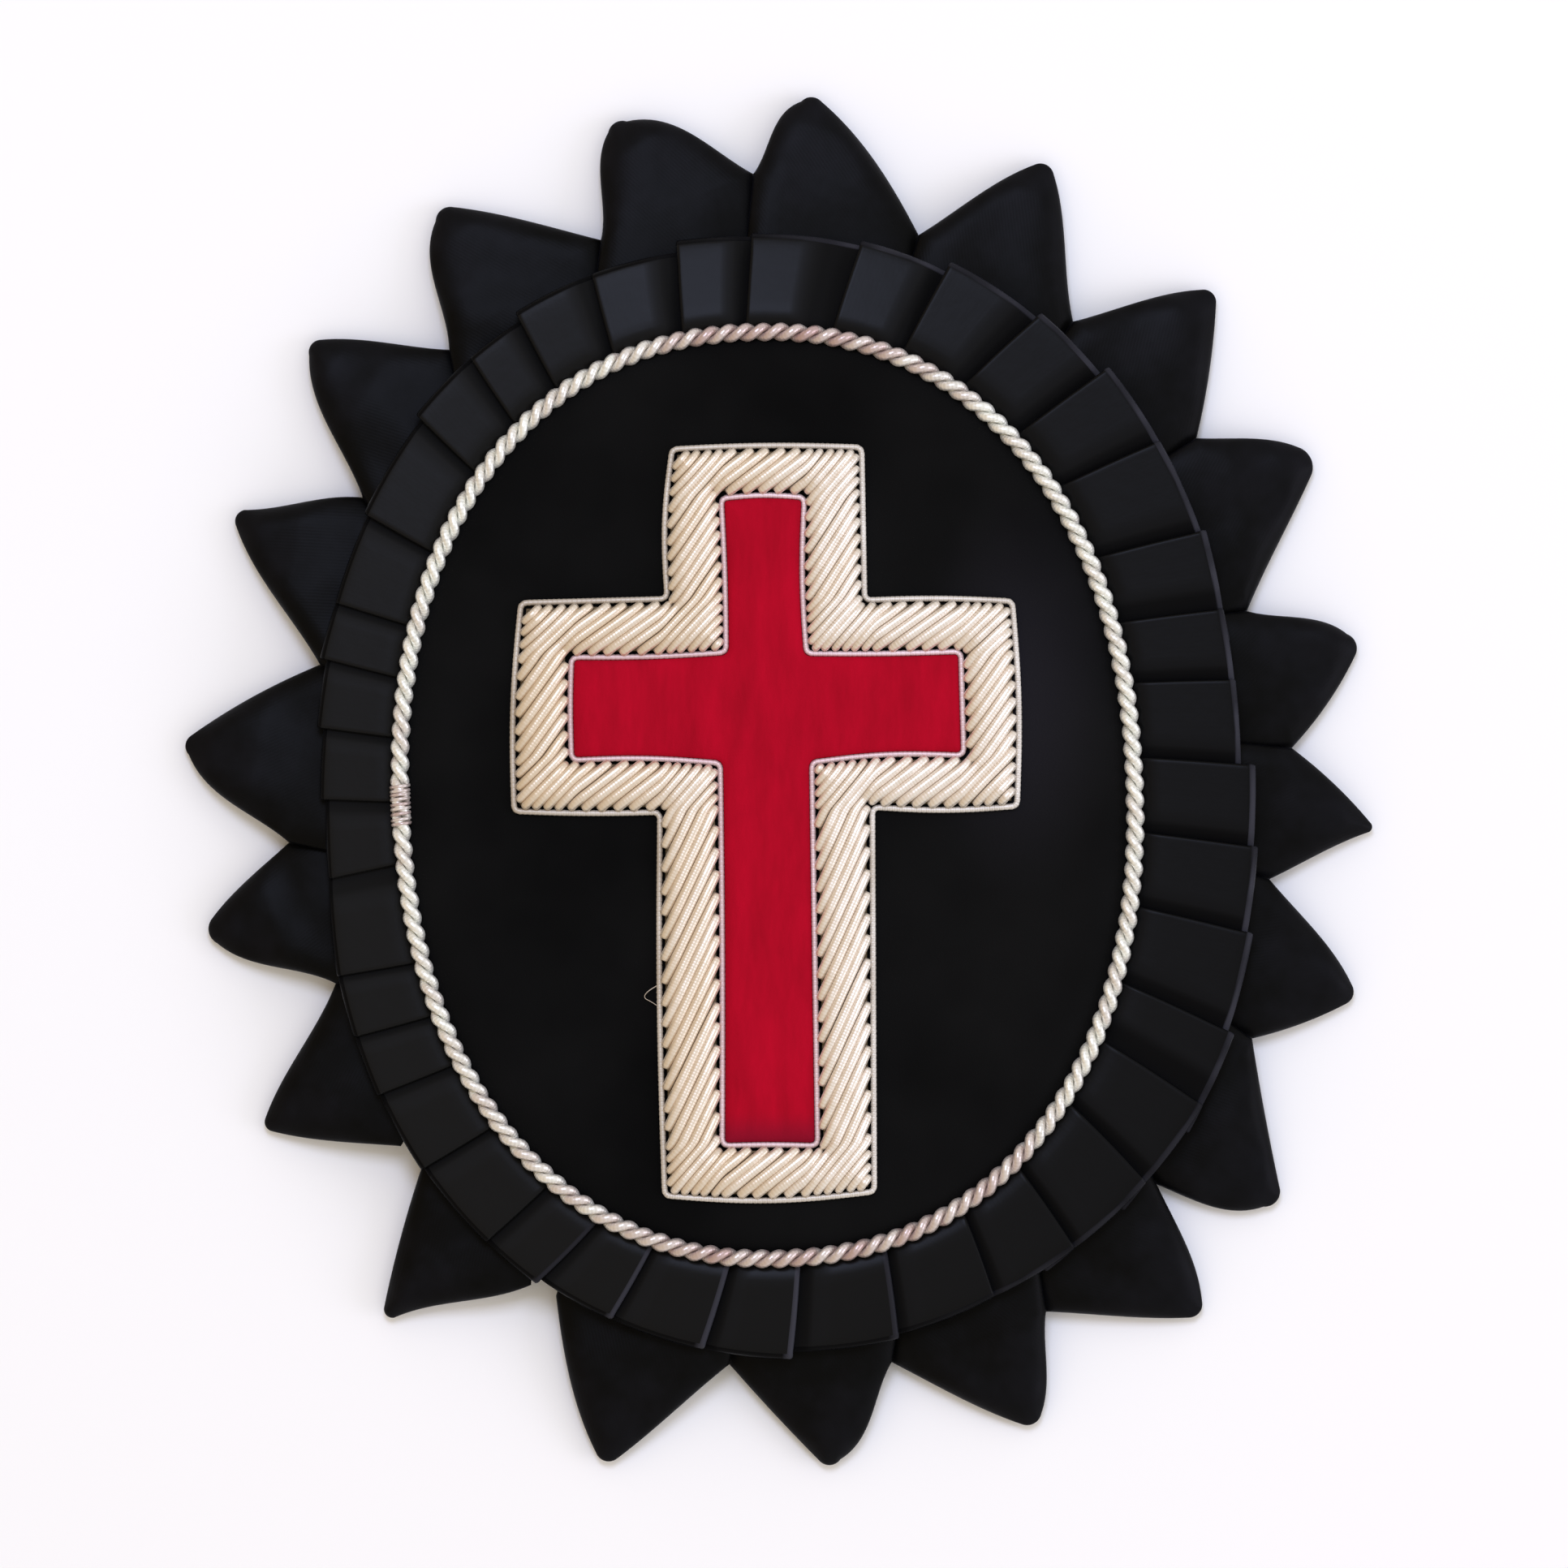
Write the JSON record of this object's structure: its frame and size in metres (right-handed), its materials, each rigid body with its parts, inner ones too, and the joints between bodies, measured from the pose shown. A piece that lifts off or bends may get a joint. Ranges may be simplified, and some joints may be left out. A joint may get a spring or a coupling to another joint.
{
  "type": "hat rosette",
  "caption": "Oval hat rosette: black folded cloth points and a knife-pleated ribbon round padded velvet, with a twisted silver cord and a red cross in a silver bullion border.",
  "frame": {"origin": "middle of the outline's box, in the plane that the rosette's back rests on", "axes": "+Z out of the rosette's face, +Y towards the top of the cross, +X to the right as seen from the front"},
  "size_m": [0.1222, 0.1408, 0.01],
  "materials": {
    "felt_back": "black felt over stiff board",
    "steel_pin": "nickel-plated steel",
    "black_cloth": "soft satin-faced cloth",
    "black_ribbon": "ribbed ribbon, low sheen",
    "black_velvet": "velvet pile",
    "silver_cord": "twisted silver wire cord",
    "silver_bullion": "smooth silver purl",
    "silver_edging": "fine beaded silver purl",
    "red_cloth": "fine felt"
  },
  "bodies": {
    "root": {"backing": "felt_back", "back_pin": "steel_pin", "point_01": "black_cloth", "point_02": "black_cloth", "point_03": "black_cloth", "point_04": "black_cloth", "point_05": "black_cloth", "point_06": "black_cloth", "point_07": "black_cloth", "point_08": "black_cloth", "point_09": "black_cloth", "point_10": "black_cloth", "point_11": "black_cloth", "point_12": "black_cloth", "point_13": "black_cloth", "point_14": "black_cloth", "point_15": "black_cloth", "point_16": "black_cloth", "point_17": "black_cloth", "point_18": "black_cloth", "point_19": "black_cloth", "point_20": "black_cloth", "pleated_ribbon": "black_ribbon", "velvet_field": "black_velvet", "twisted_cord": "silver_cord", "bullion_border": "silver_bullion", "outer_edging": "silver_edging", "inner_edging": "silver_edging", "red_cross": "red_cloth"}
  },
  "joints": []
}
